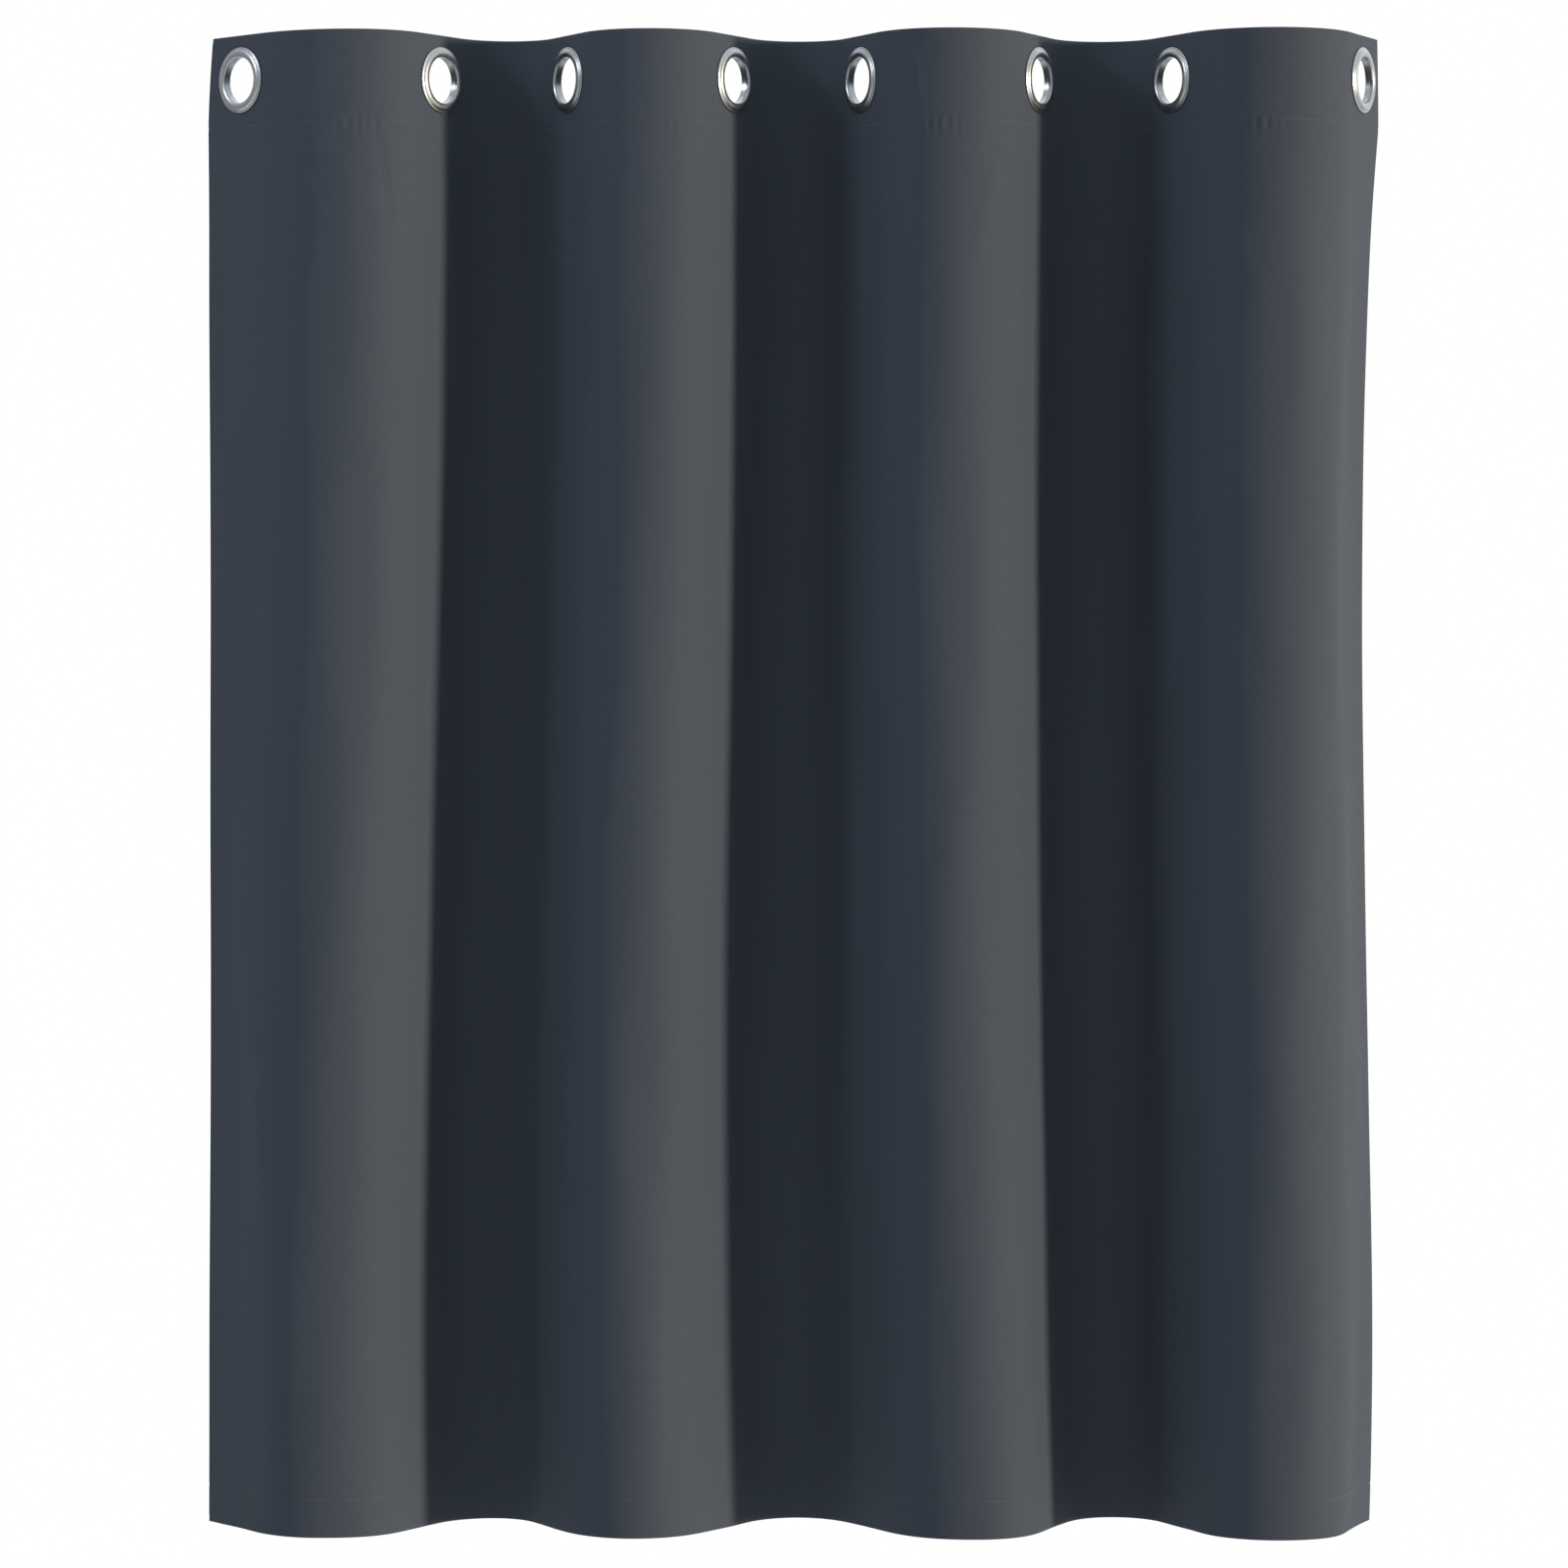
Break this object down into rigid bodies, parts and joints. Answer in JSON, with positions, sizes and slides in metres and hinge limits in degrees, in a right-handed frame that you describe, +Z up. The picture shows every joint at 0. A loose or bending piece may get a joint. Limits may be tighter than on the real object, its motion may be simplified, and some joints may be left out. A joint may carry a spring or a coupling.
{
  "type": "fabric room curtain panel",
  "caption": "Room curtain panel of plain dark grey cloth hung in soft folds by metal eyelets in a stiffened header, hemmed on all sides.",
  "frame": {"origin": "on the curtain rod's line, level with the eyelet centres and at the middle of the row of eyelets", "axes": "+Z up along the drop, +X to the right along the rod seen from the room, +Y from the face side to the rear (window) side"},
  "size_m": [1.078, 0.1277, 1.3716],
  "materials": {
    "cloth": "matt fine plain weave with a slight sheen",
    "header_tape": "stiff open woven tape",
    "eyelet_metal": "satin silver plating",
    "sewing_thread": "twisted polyester thread"
  },
  "bodies": {
    "left_edge": {"left_side_hem": "cloth", "left_side_seam": "sewing_thread"},
    "flank_1": {"cloth_1": "cloth", "header_tape_1": "header_tape", "front_ring_1": "eyelet_metal", "rear_ring_1": "eyelet_metal", "header_seam_1": "sewing_thread", "hem_seam_1": "sewing_thread"},
    "flank_2": {"cloth_2": "cloth", "header_tape_2": "header_tape", "front_ring_2": "eyelet_metal", "rear_ring_2": "eyelet_metal", "header_seam_2": "sewing_thread", "hem_seam_2": "sewing_thread"},
    "flank_3": {"cloth_3": "cloth", "header_tape_3": "header_tape", "front_ring_3": "eyelet_metal", "rear_ring_3": "eyelet_metal", "header_seam_3": "sewing_thread", "hem_seam_3": "sewing_thread"},
    "flank_4": {"cloth_4": "cloth", "header_tape_4": "header_tape", "front_ring_4": "eyelet_metal", "rear_ring_4": "eyelet_metal", "header_seam_4": "sewing_thread", "hem_seam_4": "sewing_thread"},
    "flank_5": {"cloth_5": "cloth", "header_tape_5": "header_tape", "front_ring_5": "eyelet_metal", "rear_ring_5": "eyelet_metal", "header_seam_5": "sewing_thread", "hem_seam_5": "sewing_thread"},
    "flank_6": {"cloth_6": "cloth", "header_tape_6": "header_tape", "front_ring_6": "eyelet_metal", "rear_ring_6": "eyelet_metal", "header_seam_6": "sewing_thread", "hem_seam_6": "sewing_thread"},
    "flank_7": {"cloth_7": "cloth", "header_tape_7": "header_tape", "front_ring_7": "eyelet_metal", "rear_ring_7": "eyelet_metal", "header_seam_7": "sewing_thread", "hem_seam_7": "sewing_thread"},
    "flank_8": {"cloth_8": "cloth", "header_tape_8": "header_tape", "front_ring_8": "eyelet_metal", "rear_ring_8": "eyelet_metal", "header_seam_8": "sewing_thread", "hem_seam_8": "sewing_thread", "right_side_hem": "cloth", "right_side_seam": "sewing_thread"}
  },
  "joints": [
    {"name": "draw_1", "type": "hinge", "parent": "left_edge", "child": "flank_1", "pos_m": [-0.53846, 0.02546, 0], "axis": [0, 0, -1], "range_deg": [-30, 30]},
    {"name": "draw_2", "type": "hinge", "parent": "flank_1", "child": "flank_2", "pos_m": [-0.4215, -0.05702, 0], "axis": [0, 0, 1], "range_deg": [-60, 60]},
    {"name": "draw_3", "type": "hinge", "parent": "flank_2", "child": "flank_3", "pos_m": [-0.272, 0.04923, 0], "axis": [0, 0, -1], "range_deg": [-60, 60]},
    {"name": "draw_4", "type": "hinge", "parent": "flank_3", "child": "flank_4", "pos_m": [-0.138, -0.06114, 0], "axis": [0, 0, 1], "range_deg": [-60, 60]},
    {"name": "draw_5", "type": "hinge", "parent": "flank_4", "child": "flank_5", "pos_m": [-0.004, 0.05184, 0], "axis": [0, 0, -1], "range_deg": [-60, 60]},
    {"name": "draw_6", "type": "hinge", "parent": "flank_5", "child": "flank_6", "pos_m": [0.1355, -0.0676, 0], "axis": [0, 0, 1], "range_deg": [-60, 60]},
    {"name": "draw_7", "type": "hinge", "parent": "flank_6", "child": "flank_7", "pos_m": [0.27775, 0.05401, 0], "axis": [0, 0, -1], "range_deg": [-60, 60]},
    {"name": "draw_8", "type": "hinge", "parent": "flank_7", "child": "flank_8", "pos_m": [0.42575, -0.07093, 0], "axis": [0, 0, 1], "range_deg": [-60, 60]}
  ],
  "couplings": [
    {"joint": "draw_2", "follows": "draw_1", "ratio": 2},
    {"joint": "draw_3", "follows": "draw_1", "ratio": 2},
    {"joint": "draw_4", "follows": "draw_1", "ratio": 2},
    {"joint": "draw_5", "follows": "draw_1", "ratio": 2},
    {"joint": "draw_6", "follows": "draw_1", "ratio": 2},
    {"joint": "draw_7", "follows": "draw_1", "ratio": 2},
    {"joint": "draw_8", "follows": "draw_1", "ratio": 2}
  ]
}
